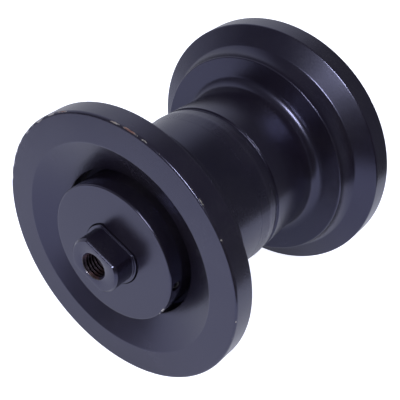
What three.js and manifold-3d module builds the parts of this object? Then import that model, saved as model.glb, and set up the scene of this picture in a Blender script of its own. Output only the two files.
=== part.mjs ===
// Track roller of a compact excavator: a double-flanged shell that turns on a fixed shaft.
// Millimetres. The origin is the roller's centre on the spin axis, +Y runs along the shaft from
// its near end to its far end, and +Z is up. Every turned profile is a list of [y, radius].
import * as THREE from 'three';
import { mergeVertices } from 'three/addons/utils/BufferGeometryUtils.js';
import Module from 'manifold-3d';

const wasm = await Module();
wasm.setup();

// ---- Fits -------------------------------------------------------------------------------------
const GAP = 0.3; // between pieces that rest on, or are pressed into, each other
const RUNNING_FIT = 0.1; // radial, shaft journal in its bushes

// ---- Facets round a full turn -----------------------------------------------------------------
const SHELL_FACETS = 48;
const SHAFT_FACETS = 36;
const SEAL_FACETS = 24;
const TORIC_SIDES = 6;

// ---- Roller shell -----------------------------------------------------------------------------
const FLANGE_RADIUS = 80;
const SHELL_HALF_WIDTH = 76.5;
const RIM_INNER_Y = 63.1;
const RIM_CHAMFER = 1;
const FACE_INNER_RADIUS = 63.3;
const RECESS_FLOOR_Y = 66.8;
const RECESS_BORE_RADIUS = 43.8;
const TREAD_RADIUS = 65;
const TREAD_INNER_Y = 47;
const FLANGE_ROOT_Y = 48.5; // where the tread starts to curve up to the flange
const FLANGE_ROOT_RADIUS = 13.5;
const FLANGE_ROOT_SWEEP = 42; // degrees, then the flange's steeper inner cone begins
const HUB_RADIUS_AT_SEAM = 48.4;
const HUB_RADIUS_AT_SHOULDER = 46.7;
const HUB_FILLET = 6;
const OIL_CHAMBER_RADIUS = 29;
const OIL_CHAMBER_END_Y = 17;

// ---- Seam between the halves --------------------------------------------------------------------
const WELD_ROOT_RADIUS = 41.6;
const WELD_ROOT_HALF = 1;
const WELD_CROWN_RADIUS = 48.9;
const WELD_NEAR_Y = -7;
const WELD_FAR_Y = 4.6;
const RELIEF_FAR_Y = 7.8; // far side of the relief groove beside the weld
const RELIEF_RADIUS = 47.3;

// ---- Shaft --------------------------------------------------------------------------------------
const SHAFT_END_Y = 93;
const JOURNAL_RADIUS = 22;
const JOURNAL_END_Y = 60;
const SEAT_RADIUS = 17.7;
const SEAT_ACROSS_FLATS = 26;
const SEAT_END_Y = 80.1;
const TIP_RADIUS = 16;
const TIP_ACROSS_FLATS = 24;
const TIP_CHAMFER = 1.2;
const FLATS_ANGLE = THREE.MathUtils.degToRad(64.5); // the flats' normal, from +X towards +Z
const BOLT_HOLE_RADIUS = 6.9; // drilled for an M16 thread
const BOLT_HOLE_MOUTH_RADIUS = 8.1;
const BOLT_HOLE_DEPTH = 24;
const DRILL_POINT_SLOPE = 0.6; // a drilled hole's point, depth per radius
const GALLERY_RADIUS = 2.5;
const GALLERY_END_Y = -4;
const PLUG_SEAT_RADIUS = 4.3;
const PLUG_SEAT_Y = 60;

// ---- Collar, its O-ring and its pin -------------------------------------------------------------
const COLLAR_RADIUS = 40.8;
const COLLAR_FACE_Y = 79.1;
const COLLAR_SKIRT_Y = 58.3;
const COLLAR_HUB_RADIUS = 27;
const COLLAR_HUB_Y = 49.3;
const ORING_Y = 55.1;
const ORING_GROOVE_WIDTH = 3.6;
const ORING_GROOVE_RADIUS = 19.5;
const ORING_SECTION_RADIUS = 1.1;
const PIN_RADIUS = 2.5;
const PIN_BORE_RADIUS = 1.5;
const PIN_SLOT = 0.9;
const PIN_SLANT = THREE.MathUtils.degToRad(21); // clears the shell's cone when it is driven in
const PIN_MOUTH_Y = 74.6;
const PIN_ANGLE = THREE.MathUtils.degToRad(-6.5); // from +X towards +Z
const PIN_OUTER_REACH = 39.6; // radius at which the middle of each pin end lies
const PIN_INNER_REACH = 12.6;
const PIN_DRILL_START = 50; // radius from which the hole is drilled, outside the collar

// ---- Bush ---------------------------------------------------------------------------------------
const BUSH_START_Y = 18;
const BUSH_RADIUS = 26;
const BUSH_FLANGE_RADIUS = 31;
const BUSH_FLANGE_Y = 46;
const BUSH_END_Y = 49;

// ---- Floating face seal -------------------------------------------------------------------------
const SEAL_PLANE_Y = 57.5;
const SEAL_FLOOR_Y = 49.6;
const SEAL_SEAT_INNER_RADIUS = 36.4;
const SEAL_SEAT_OUTER_RADIUS = 38.2;
const RING_BORE_RADIUS = 29;
const RING_FACE_RADIUS = 34.5;
const RING_TAIL_Y = 50.2;
const TORIC_Y = 52.3;
const TORIC_RADIUS = 34.15;
const TORIC_SECTION_RADIUS = 2.4;

// ---- Colours ------------------------------------------------------------------------------------
const BLACK_PAINT = { color: 0x1c1d26, roughness: 0.35, metalness: 0.1 };
const WELD_PAINT = { color: 0x20212b, roughness: 0.45, metalness: 0.1 };
const BRONZE = { color: 0xa8803c, roughness: 0.4, metalness: 0.9 };
const GROUND_IRON = { color: 0x9a9ca0, roughness: 0.25, metalness: 0.9 };
const SPRING_STEEL = { color: 0x6f7278, roughness: 0.4, metalness: 0.9 };
const BLACK_RUBBER = { color: 0x141414, roughness: 0.8, metalness: 0 };

// ---- Turning and cutting ------------------------------------------------------------------------
function signedArea(profile) {
  return profile.reduce((sum, [y, r], i) => {
    const [nextY, nextR] = profile[(i + 1) % profile.length];
    return sum + (y * nextR - nextY * r) / 2;
  }, 0);
}

// A lathe looks outwards when its profile runs clockwise, with y to the right and radius up.
function turned(profile, facets) {
  const ordered = signedArea(profile) < 0 ? profile : [...profile].reverse();
  const points = ordered.map(([y, r]) => new THREE.Vector2(r, y));
  if (ordered.every(([, r]) => r > 0)) points.push(points[0].clone());
  const geometry = new THREE.LatheGeometry(points, facets);
  geometry.rotateY(Math.PI / facets); // a facet, not an edge, lies lowest
  return geometry;
}

function toSolid(geometry) {
  const bare = geometry.clone();
  bare.deleteAttribute('normal');
  bare.deleteAttribute('uv');
  const merged = mergeVertices(bare, 1e-4);
  const triangles = [];
  for (let i = 0; i < merged.index.count; i += 3) {
    const [a, b, c] = [0, 1, 2].map((k) => merged.index.getX(i + k));
    if (a !== b && b !== c && c !== a) triangles.push(a, b, c);
  }
  return new wasm.Manifold(new wasm.Mesh({
    numProp: 3,
    vertProperties: new Float32Array(merged.attributes.position.array),
    triVerts: new Uint32Array(triangles),
  }));
}

function toGeometry(solid) {
  const mesh = solid.getMesh();
  const geometry = new THREE.BufferGeometry();
  geometry.setAttribute('position', new THREE.BufferAttribute(mesh.vertProperties, 3));
  geometry.setIndex(new THREE.BufferAttribute(mesh.triVerts, 1));
  geometry.computeVertexNormals();
  return geometry;
}

function arc(centreY, centreR, radius, fromDeg, toDeg, steps) {
  return Array.from({ length: steps + 1 }, (_, i) => {
    const angle = THREE.MathUtils.degToRad(fromDeg + ((toDeg - fromDeg) * i) / steps);
    return [centreY + radius * Math.cos(angle), centreR + radius * Math.sin(angle)];
  });
}

function toSide(profile, side) {
  return profile.map(([y, r]) => [side * y, r]);
}

// A box whose faces are square to the flats, from one distance along their normal to another.
function slabAcrossFlats(from, to, startY, endY) {
  const wide = 4 * JOURNAL_RADIUS;
  const geometry = new THREE.BoxGeometry(to - from, endY - startY, wide);
  geometry.translate((from + to) / 2, (startY + endY) / 2, 0);
  geometry.rotateY(-FLATS_ANGLE);
  return toSolid(geometry);
}

function cylinderAlong(radius, start, end, facets) {
  const geometry = new THREE.CylinderGeometry(radius, radius, start.distanceTo(end), facets);
  const direction = end.clone().sub(start).normalize();
  const turn = new THREE.Quaternion().setFromUnitVectors(new THREE.Vector3(0, 1, 0), direction);
  geometry.applyQuaternion(turn);
  geometry.translate(...start.clone().add(end).divideScalar(2).toArray());
  return toSolid(geometry);
}

// ---- Roller shell -------------------------------------------------------------------------------
function shellSeam(side) {
  const root = [[GAP / 2, OIL_CHAMBER_RADIUS], [GAP / 2, WELD_ROOT_RADIUS]];
  if (side < 0) {
    return [...root, [WELD_ROOT_HALF, WELD_ROOT_RADIUS], [-WELD_NEAR_Y, HUB_RADIUS_AT_SEAM]];
  }
  return [
    ...root,
    [WELD_ROOT_HALF, WELD_ROOT_RADIUS],
    [WELD_FAR_Y, RELIEF_RADIUS],
    [RELIEF_FAR_Y - 0.4, RELIEF_RADIUS],
    [RELIEF_FAR_Y, HUB_RADIUS_AT_SEAM],
  ];
}

function hubShoulder() {
  const centreY = TREAD_INNER_Y - HUB_FILLET;
  const centreR = HUB_RADIUS_AT_SHOULDER + HUB_FILLET;
  return arc(centreY, centreR, HUB_FILLET, -90, 0, 2);
}

// A wide arc from the tread up to the foot of the flange's inner cone.
function flangeRoot() {
  const centreR = TREAD_RADIUS + FLANGE_ROOT_RADIUS;
  return arc(FLANGE_ROOT_Y, centreR, FLANGE_ROOT_RADIUS, -90, FLANGE_ROOT_SWEEP - 90, 3);
}

function shellOutside() {
  return [
    ...hubShoulder(),
    [TREAD_INNER_Y, TREAD_RADIUS - RIM_CHAMFER],
    [TREAD_INNER_Y + RIM_CHAMFER, TREAD_RADIUS],
    ...flangeRoot(),
    [RIM_INNER_Y, FLANGE_RADIUS],
    [SHELL_HALF_WIDTH - RIM_CHAMFER, FLANGE_RADIUS],
    [SHELL_HALF_WIDTH, FLANGE_RADIUS - RIM_CHAMFER],
  ];
}

function shellInside() {
  return [
    [SHELL_HALF_WIDTH, FACE_INNER_RADIUS],
    [RECESS_FLOOR_Y, RECESS_BORE_RADIUS],
    [SEAL_PLANE_Y, RECESS_BORE_RADIUS],
    [SEAL_PLANE_Y, SEAL_SEAT_OUTER_RADIUS],
    [SEAL_FLOOR_Y, SEAL_SEAT_INNER_RADIUS],
    [SEAL_FLOOR_Y, BUSH_FLANGE_RADIUS + GAP],
    [BUSH_FLANGE_Y - GAP, BUSH_FLANGE_RADIUS + GAP],
    [BUSH_FLANGE_Y - GAP, BUSH_RADIUS + GAP],
    [OIL_CHAMBER_END_Y, BUSH_RADIUS + GAP],
    [OIL_CHAMBER_END_Y, OIL_CHAMBER_RADIUS],
  ];
}

function shellHalf(side) {
  const profile = [...shellSeam(side), ...shellOutside(), ...shellInside()];
  return turned(toSide(profile, side), SHELL_FACETS);
}

// A slightly crowned bead that fills the V between the two bevelled halves.
function girthWeld() {
  const clear = 0.4; // along Y; about 0.3 square to the bevel
  const middleY = (WELD_NEAR_Y + WELD_FAR_Y) / 2;
  const profile = [
    [clear - WELD_ROOT_HALF, WELD_ROOT_RADIUS + GAP],
    [clear + WELD_NEAR_Y, HUB_RADIUS_AT_SEAM - 0.1],
    [middleY, WELD_CROWN_RADIUS],
    [WELD_FAR_Y - clear, HUB_RADIUS_AT_SEAM],
    [WELD_FAR_Y - clear, RELIEF_RADIUS],
    [WELD_ROOT_HALF - clear, WELD_ROOT_RADIUS + GAP],
  ];
  return turned(profile, SHELL_FACETS);
}

// ---- Shaft --------------------------------------------------------------------------------------
function boltHole() {
  const mouth = BOLT_HOLE_MOUTH_RADIUS - BOLT_HOLE_RADIUS;
  return [
    [SHAFT_END_Y - BOLT_HOLE_DEPTH, BOLT_HOLE_RADIUS],
    [SHAFT_END_Y - mouth, BOLT_HOLE_RADIUS],
    [SHAFT_END_Y, BOLT_HOLE_MOUTH_RADIUS],
  ];
}

function shaftOutside() {
  const edge = 0.4;
  return [
    [SHAFT_END_Y, TIP_RADIUS - TIP_CHAMFER],
    [SHAFT_END_Y - TIP_CHAMFER, TIP_RADIUS],
    [SEAT_END_Y, TIP_RADIUS],
    [SEAT_END_Y, SEAT_RADIUS - edge],
    [SEAT_END_Y - edge, SEAT_RADIUS],
    [JOURNAL_END_Y, SEAT_RADIUS],
    [JOURNAL_END_Y, JOURNAL_RADIUS - 1],
    [JOURNAL_END_Y - 1, JOURNAL_RADIUS],
    [ORING_Y + ORING_GROOVE_WIDTH / 2, JOURNAL_RADIUS],
    [ORING_Y + ORING_GROOVE_WIDTH / 2, ORING_GROOVE_RADIUS],
    [ORING_Y - ORING_GROOVE_WIDTH / 2, ORING_GROOVE_RADIUS],
    [ORING_Y - ORING_GROOVE_WIDTH / 2, JOURNAL_RADIUS],
  ];
}

function shaftProfile() {
  const nearHoleBottom = BOLT_HOLE_DEPTH - SHAFT_END_Y + BOLT_HOLE_RADIUS * DRILL_POINT_SLOPE;
  const farSeatMouth = SHAFT_END_Y - BOLT_HOLE_DEPTH
    - (BOLT_HOLE_RADIUS - PLUG_SEAT_RADIUS) * DRILL_POINT_SLOPE;
  return [
    [nearHoleBottom, 0],
    ...toSide(boltHole(), -1),
    ...toSide(shaftOutside(), -1),
    ...shaftOutside().reverse(),
    ...boltHole().reverse(),
    [farSeatMouth, PLUG_SEAT_RADIUS],
    [PLUG_SEAT_Y, PLUG_SEAT_RADIUS],
    [PLUG_SEAT_Y, GALLERY_RADIUS],
    [GALLERY_END_Y, GALLERY_RADIUS],
    [GALLERY_END_Y - GALLERY_RADIUS * DRILL_POINT_SLOPE, 0],
  ];
}

function flatsCutters(side) {
  const past = SHAFT_END_Y + 5;
  const cutters = [];
  for (const way of [1, -1]) {
    for (const [across, startY, endY] of [
      [SEAT_ACROSS_FLATS, JOURNAL_END_Y, SEAT_END_Y + 1],
      [TIP_ACROSS_FLATS, SEAT_END_Y, past],
    ]) {
      const ends = [side * startY, side * endY].sort((a, b) => a - b);
      const distances = [way * across / 2, way * 2 * SEAT_RADIUS].sort((a, b) => a - b);
      cutters.push(slabAcrossFlats(...distances, ...ends));
    }
  }
  return cutters;
}

// A point on the lock pin's axis, at a given distance from the spin axis.
function pinPoint(side, radius) {
  const y = PIN_MOUTH_Y - (COLLAR_RADIUS - radius) * Math.tan(PIN_SLANT);
  return new THREE.Vector3(radius * Math.cos(PIN_ANGLE), side * y, radius * Math.sin(PIN_ANGLE));
}

function pinHole(side) {
  const bottom = pinPoint(side, PIN_INNER_REACH - GAP);
  return cylinderAlong(PIN_RADIUS + GAP, bottom, pinPoint(side, PIN_DRILL_START), 20);
}

function shaft() {
  let solid = toSolid(turned(shaftProfile(), SHAFT_FACETS));
  for (const side of [-1, 1]) {
    for (const cutter of [...flatsCutters(side), pinHole(side)]) solid = solid.subtract(cutter);
  }
  const axis = new THREE.Vector3(0, 0, 0);
  const outside = new THREE.Vector3(0, 0, -2 * JOURNAL_RADIUS);
  solid = solid.subtract(cylinderAlong(GALLERY_RADIUS - 0.2, axis, outside, 12));
  return toGeometry(solid);
}

function galleryPlug() {
  const radius = PLUG_SEAT_RADIUS - GAP;
  const innerY = PLUG_SEAT_Y + GAP;
  const outerY = PLUG_SEAT_Y + 7;
  const socketY = outerY - 3;
  const body = [
    [innerY, 0],
    [innerY, radius - 0.5],
    [innerY + 0.5, radius],
    [outerY, radius],
    [outerY, 0],
  ];
  const socket = cylinderAlong(2, new THREE.Vector3(0, socketY, 0), new THREE.Vector3(0, outerY + 1, 0), 6);
  return toGeometry(toSolid(turned(body, 24)).subtract(socket));
}

// ---- Bush ---------------------------------------------------------------------------------------
function bush(side) {
  const bore = JOURNAL_RADIUS + RUNNING_FIT;
  const profile = [
    [BUSH_START_Y, bore + 0.5],
    [BUSH_START_Y, BUSH_RADIUS - 0.5],
    [BUSH_START_Y + 0.5, BUSH_RADIUS],
    [BUSH_FLANGE_Y, BUSH_RADIUS],
    [BUSH_FLANGE_Y, BUSH_FLANGE_RADIUS],
    [BUSH_END_Y, BUSH_FLANGE_RADIUS],
    [BUSH_END_Y, bore + 0.5],
    [BUSH_END_Y - 0.5, bore],
    [BUSH_START_Y + 0.5, bore],
  ];
  return turned(toSide(profile, side), SHAFT_FACETS);
}

// ---- Floating face seal: the shell's half, and the collar's half mirrored in the seal plane -------
function acrossSealPlane(profile) {
  return profile.map(([y, r]) => [2 * SEAL_PLANE_Y - y, r]);
}

function sealRing(side, turns) {
  const rotating = [
    [SEAL_PLANE_Y - GAP / 2, RING_BORE_RADIUS],
    [SEAL_PLANE_Y - GAP / 2, RING_FACE_RADIUS],
    [SEAL_PLANE_Y - 2.3, RING_FACE_RADIUS],
    [SEAL_PLANE_Y - 3.1, RING_BORE_RADIUS + 2.8],
    [RING_TAIL_Y, RING_BORE_RADIUS + 2],
    [RING_TAIL_Y, RING_BORE_RADIUS],
  ];
  const profile = turns ? rotating : acrossSealPlane(rotating);
  return turned(toSide(profile, side), SEAL_FACETS);
}

function sealToric(side, turns) {
  const step = 360 / TORIC_SIDES;
  const rotating = arc(TORIC_Y, TORIC_RADIUS, TORIC_SECTION_RADIUS, 0, 360 - step, TORIC_SIDES - 1);
  const profile = turns ? rotating : acrossSealPlane(rotating);
  return turned(toSide(profile, side), SEAL_FACETS);
}

// ---- Collar, O-ring and pin -----------------------------------------------------------------------
function collarProfile() {
  const edge = 1;
  const bore = JOURNAL_RADIUS + GAP;
  return [
    [COLLAR_FACE_Y, 0],
    [COLLAR_FACE_Y, COLLAR_RADIUS - edge],
    [COLLAR_FACE_Y - edge, COLLAR_RADIUS],
    [COLLAR_SKIRT_Y + 0.5, COLLAR_RADIUS],
    [COLLAR_SKIRT_Y, COLLAR_RADIUS - 0.5],
    [COLLAR_SKIRT_Y, SEAL_SEAT_OUTER_RADIUS - 0.18],
    [2 * SEAL_PLANE_Y - SEAL_FLOOR_Y, SEAL_SEAT_INNER_RADIUS],
    [2 * SEAL_PLANE_Y - SEAL_FLOOR_Y, COLLAR_HUB_RADIUS],
    [COLLAR_HUB_Y, COLLAR_HUB_RADIUS],
    [COLLAR_HUB_Y, bore],
    [JOURNAL_END_Y + GAP, bore],
    [JOURNAL_END_Y + GAP, 0],
  ];
}

// The collar's front plate is pierced by the outline of the shaft's seat, so it can't turn.
function seatHole(side) {
  const ends = [side * JOURNAL_END_Y, side * (COLLAR_FACE_Y + 1)].sort((a, b) => a - b);
  const half = SEAT_ACROSS_FLATS / 2 + GAP;
  const round = new THREE.CylinderGeometry(
    SEAT_RADIUS + GAP, SEAT_RADIUS + GAP, ends[1] - ends[0], SHAFT_FACETS,
  );
  round.rotateY(Math.PI / SHAFT_FACETS);
  round.translate(0, (ends[0] + ends[1]) / 2, 0);
  return toSolid(round).intersect(slabAcrossFlats(-half, half, ends[0] - 1, ends[1] + 1));
}

function collar(side) {
  const blank = toSolid(turned(toSide(collarProfile(), side), SHAFT_FACETS));
  return toGeometry(blank.subtract(seatHole(side)).subtract(pinHole(side)));
}

function oRing(side) {
  const radius = ORING_GROOVE_RADIUS + ORING_SECTION_RADIUS + 0.2;
  const section = arc(ORING_Y, radius, ORING_SECTION_RADIUS, 0, 300, 5);
  return turned(toSide(section, side), SEAL_FACETS);
}

// A rolled pin: a tube split along its length.
function lockPin(side) {
  const outer = pinPoint(side, PIN_OUTER_REACH);
  const inner = pinPoint(side, PIN_INNER_REACH);
  const slot = Math.asin(PIN_SLOT / 2 / PIN_RADIUS);
  const section = new THREE.Shape();
  section.absarc(0, 0, PIN_RADIUS, slot, 2 * Math.PI - slot, false);
  section.absarc(0, 0, PIN_BORE_RADIUS, 2 * Math.PI - slot, slot, true);
  const geometry = new THREE.ExtrudeGeometry(section, {
    depth: outer.distanceTo(inner),
    bevelEnabled: false,
    curveSegments: 10,
  });
  const direction = inner.clone().sub(outer).normalize();
  const turn = new THREE.Quaternion().setFromUnitVectors(new THREE.Vector3(0, 0, 1), direction);
  geometry.applyQuaternion(turn);
  geometry.translate(...outer.toArray());
  return geometry;
}

// ---- Assembly -------------------------------------------------------------------------------------
function mesh(name, geometry, look) {
  const part = new THREE.Mesh(geometry, new THREE.MeshStandardMaterial(look));
  part.name = name;
  return part;
}

// What turns: the shell, its weld, and what is pressed into it.
const roller = new THREE.Group();
roller.add(mesh('shell_girth_weld', girthWeld(), WELD_PAINT));

// What stays fixed to the track frame: the shaft and what is locked to it.
const axle = new THREE.Group();
axle.add(mesh('shaft', shaft(), BLACK_PAINT));
axle.add(mesh('oil_gallery_plug', galleryPlug(), SPRING_STEEL));

for (const [end, side] of [['near', -1], ['far', 1]]) {
  roller.add(
    mesh(`roller_shell_${end}`, shellHalf(side), BLACK_PAINT),
    mesh(`bush_${end}`, bush(side), BRONZE),
    mesh(`seal_ring_rotating_${end}`, sealRing(side, true), GROUND_IRON),
    mesh(`toric_rotating_${end}`, sealToric(side, true), BLACK_RUBBER),
  );
  axle.add(
    mesh(`collar_${end}`, collar(side), BLACK_PAINT),
    mesh(`collar_lock_pin_${end}`, lockPin(side), SPRING_STEEL),
    mesh(`collar_o_ring_${end}`, oRing(side), BLACK_RUBBER),
    mesh(`seal_ring_fixed_${end}`, sealRing(side, false), GROUND_IRON),
    mesh(`toric_fixed_${end}`, sealToric(side, false), BLACK_RUBBER),
  );
}

const group = new THREE.Group();
group.add(roller, axle);

export default group;
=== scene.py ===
# %% [markdown]
# # A track roller, made the way a workshop would make it
# A track roller carries part of an excavator's weight on its chain. It is nearly all turned work: a shell
# with two flanges spins on a fixed shaft, with bushes and face seals between them. This lesson loads the
# rigid model as a frame, then builds one finer piece over each of its solids and gives each its finish.

# %% Load the frame
import math

import bmesh
import bpy
import numpy as np
from mathutils import Matrix, Vector, noise


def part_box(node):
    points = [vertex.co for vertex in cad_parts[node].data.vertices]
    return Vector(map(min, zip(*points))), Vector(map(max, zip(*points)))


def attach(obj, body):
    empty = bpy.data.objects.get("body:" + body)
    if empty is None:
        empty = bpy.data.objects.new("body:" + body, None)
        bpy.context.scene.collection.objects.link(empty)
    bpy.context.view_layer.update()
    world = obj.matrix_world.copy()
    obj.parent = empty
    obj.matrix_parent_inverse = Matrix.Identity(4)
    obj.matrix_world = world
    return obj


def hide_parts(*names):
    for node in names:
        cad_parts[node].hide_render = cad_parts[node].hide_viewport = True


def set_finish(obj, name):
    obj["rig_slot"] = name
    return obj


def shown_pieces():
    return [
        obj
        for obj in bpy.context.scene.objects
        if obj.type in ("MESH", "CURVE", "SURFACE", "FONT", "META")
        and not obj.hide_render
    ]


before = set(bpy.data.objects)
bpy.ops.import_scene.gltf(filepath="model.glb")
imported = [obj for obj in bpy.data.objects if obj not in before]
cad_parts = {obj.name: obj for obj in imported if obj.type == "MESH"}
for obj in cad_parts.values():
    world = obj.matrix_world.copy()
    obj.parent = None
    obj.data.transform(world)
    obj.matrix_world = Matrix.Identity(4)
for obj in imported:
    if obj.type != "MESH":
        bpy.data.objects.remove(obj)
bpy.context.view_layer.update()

# %% [markdown]
# ## Driving sizes
# The frame knows where every solid ends, so the main sizes are read from its boxes, in millimetres. What a
# box can't tell, such as the radius of a fillet, is a named value beside them. Everything is laid out for
# the far end, which lies towards +Y, and mirrored for the near end.

# %% Read the sizes off the frame
MM = 0.001
NEAR, FAR = -1, 1
END_NAMES = {NEAR: "near", FAR: "far"}


def widest(node):
    """Largest distance from the spin axis, in mm."""
    return max(math.hypot(v.co.x, v.co.z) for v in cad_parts[node].data.vertices) / MM


def outer_end(node):
    """How far the node reaches towards its own end of the roller, in mm."""
    low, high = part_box(node)
    return max(-low.y, high.y) / MM


flange_radius = widest("roller_shell_far")
shell_end = outer_end("roller_shell_far")
shaft_end = outer_end("shaft")
journal_radius = widest("shaft")
collar_radius = widest("collar_far")
collar_end = outer_end("collar_far")
bush_end = outer_end("bush_far")
ring_seal_plane = outer_end("seal_ring_rotating_far") + 0.15
print(f"flange {flange_radius:.1f}, shell {shell_end:.1f}, shaft {shaft_end:.1f}, collar {collar_radius:.1f}")

# %% [markdown]
# ## How a turned piece is made
# Most of these pieces come off a lathe. Blender's Screw modifier could spin a profile, but a mesh written
# in code also keeps a note of where each point lies: on a worn edge, in a thread, beside a chip. So the
# profile is drawn as corners, each corner gets a small radius like the one a real tool leaves, and the rows
# of points go round the axis.

# %% Round the corners of a profile
ARC_STEP = math.radians(16)
SUPPORT = 0.45  # mm from a rounding to the extra row that keeps the flat beside it flat


def cross(a, b):
    return a.x * b.y - a.y * b.x


def area(points):
    return sum(cross(a, b) for a, b in zip(points, points[1:] + points[:1])) / 2


def round_corner(before, here, after, radius, outward):
    """Points and edge marks of one rounded corner: 1 on an outer edge, 0 elsewhere."""
    back, ahead = before - here, after - here
    half = back.angle(ahead) / 2
    reach = min(radius / math.tan(half), 0.45 * back.length, 0.45 * ahead.length)
    true_radius = reach * math.tan(half)
    back_way, ahead_way = back.normalized(), ahead.normalized()
    centre = here + (back_way + ahead_way).normalized() * (true_radius / math.sin(half))
    start, end = here + back_way * reach, here + ahead_way * reach
    steps = max(2, math.ceil((math.pi - 2 * half) / ARC_STEP))
    arm = start - centre
    sweep = math.atan2(cross(arm, end - centre), arm.dot(end - centre))
    convex = cross(-back, ahead) * outward > 0
    rows = [(start + back_way * min(SUPPORT, 0.3 * (back.length - reach)), 0.0)]
    for i in range(steps + 1):
        turn = Matrix.Rotation(sweep * i / steps, 2)
        rows.append((centre + turn @ arm, 1.0 if convex else 0.0))
    rows.append((end + ahead_way * min(SUPPORT, 0.3 * (ahead.length - reach)), 0.0))
    return rows


def rounded(corners):
    """From corners (y, radius, rounding[, section]) to rows (y, radius, edge, section)."""
    points = [Vector(c[:2]) for c in corners]
    outward = 1 if area(points) > 0 else -1
    rows = []
    for i, corner in enumerate(corners):
        section = corner[3] if len(corner) > 3 else None
        if corner[2] == 0:
            rows.append((corner[0], corner[1], 0.0, section))
            continue
        before, after = points[i - 1], points[(i + 1) % len(points)]
        for point, edge in round_corner(before, points[i], after, corner[2], outward):
            rows.append((point.x, point.y, edge, section))
    return rows


# %% Spin rows of points round the axis
def turned_mesh(name, y, radius, angles, closed=True, marks=None):
    """y and radius are arrays of rows by angles, in mm. An open profile starts and ends on the axis."""
    rows, columns = radius.shape
    if area([Vector(p) for p in zip(y[:, 0], radius[:, 0])]) > 0:
        y, radius = y[::-1], radius[::-1]
        marks = {k: m[::-1] for k, m in (marks or {}).items()}
    points = np.stack([radius * np.cos(angles), y, radius * np.sin(angles)], axis=-1) * MM
    index = np.arange(rows * columns).reshape(rows, columns)
    following = np.roll(index, -1, axis=0) if closed else index[1:]
    here = index if closed else index[:-1]
    quads = np.stack([here, following, np.roll(following, -1, axis=1), np.roll(here, -1, axis=1)], axis=-1)
    mesh = bpy.data.meshes.new(name)
    mesh.from_pydata(points.reshape(-1, 3).tolist(), [], quads.reshape(-1, 4).tolist())
    for mark, values in (marks or {}).items():
        spread = np.broadcast_to(values, (rows, columns)).astype(np.float32)
        mesh.attributes.new(mark, "FLOAT", "POINT").data.foreach_set("value", spread.ravel())
    if not closed:
        weld_poles(mesh)
    return mesh


def weld_poles(mesh):
    """Joins the many points that an open profile leaves on the axis into one."""
    work = bmesh.new()
    work.from_mesh(mesh)
    on_axis = [v for v in work.verts if math.hypot(v.co.x, v.co.z) < 1e-7]
    bmesh.ops.remove_doubles(work, verts=on_axis, dist=1e-6)
    work.to_mesh(mesh)
    work.free()


def add_piece(name, mesh, body, node, slot):
    """Puts a mesh into the scene as a piece that rides on a body and stands for one CAD node."""
    mesh.polygons.foreach_set("use_smooth", [True] * len(mesh.polygons))
    mesh.set_sharp_from_angle(angle=math.radians(35))
    piece = bpy.data.objects.new(name, mesh)
    bpy.context.scene.collection.objects.link(piece)
    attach(piece, body)
    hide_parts(node)
    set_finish(piece, slot)
    print(f"{name}: {len(mesh.polygons)} faces, {[round(s / MM, 1) for s in piece.dimensions]} mm")
    return piece


def even_angles(columns):
    return np.arange(columns) * 2 * math.pi / columns


def stacked(rows, angles):
    """Rows of (y, radius at every angle, edge) as arrays of y, radius and edge."""
    y = np.array([np.full_like(angles, row[0]) for row in rows])
    return y, np.array([row[1] for row in rows]), np.array([row[2] for row in rows])[:, None]


def spin(name, corners, side=FAR, columns=192, shape=None):
    """A turned piece: rounded corners spun round the axis. shape may change y and radius first."""
    rows = rounded(corners)
    angles = even_angles(columns)
    flat = np.ones((len(rows), columns))
    y = flat * np.array([r[0] for r in rows])[:, None] * side
    radius = flat * np.array([r[1] for r in rows])[:, None]
    marks = {"edge": np.array([r[2] for r in rows])[:, None]}
    if shape:
        y, radius, marks = shape(y, radius, angles, marks)
    return turned_mesh(name, y, radius, angles, marks=marks)

# %% [markdown]
# ## The roller shell
# The shell starts as two forgings. Each has a flange that keeps the chain in line, a tread that carries it
# and half of a waisted hub, and inside are the oil chamber, the bush seat and the seal's housing. A forging
# has no sharp inner corners, so the tread runs up to the flange in one wide arc. One profile is enough for
# both halves; only the edge at the seam differs, because the far half has a relief groove there.

# %% Draw the shell's profile
RIM_START = 63.1
FACE_EDGE_RADIUS = 63.3
RECESS_FLOOR = 66.8
RECESS_BORE_RADIUS = 43.8
TREAD_RADIUS = 65.0
TREAD_START = 47.0
ROOT_START = 48.5
ROOT_RADIUS = 13.5
ROOT_SWEEP = math.radians(42)
CONE_FOOT_ROUNDING = 1.5
HUB_FILLET = 6.0
RIM_ROUNDING = {"inner": 1.0, "face": 1.3}
HUB_SEAM_RADIUS = 48.4
HUB_WAIST_RADIUS = 46.6
WELD_ROOT_RADIUS = 41.6
WELD_EDGES = {NEAR: 7.0, FAR: 4.6}
RELIEF_END = 7.8
RELIEF_RADIUS = 47.2
CHAMBER_RADIUS = 29.0
CHAMBER_END = 17.0
BUSH_SEAT_RADIUS = 26.3
BUSH_FLANGE_SEAT_RADIUS = 31.3
BUSH_FLANGE_SEAT = 45.7
SEAL_FLOOR = 49.6
SEAL_SEAT_RADII = (36.4, 38.2)


def seam_edge(side):
    root = [(0.15, CHAMBER_RADIUS, 0.3), (0.15, WELD_ROOT_RADIUS, 0), (1.0, WELD_ROOT_RADIUS, 0)]
    if side == NEAR:
        return root + [(WELD_EDGES[NEAR], HUB_SEAM_RADIUS, 0.25)]
    groove = [(WELD_EDGES[FAR], RELIEF_RADIUS, 0.3), (RELIEF_END - 0.5, RELIEF_RADIUS, 0.5)]
    return root + groove + [(RELIEF_END, HUB_SEAM_RADIUS, 0.25)]


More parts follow.
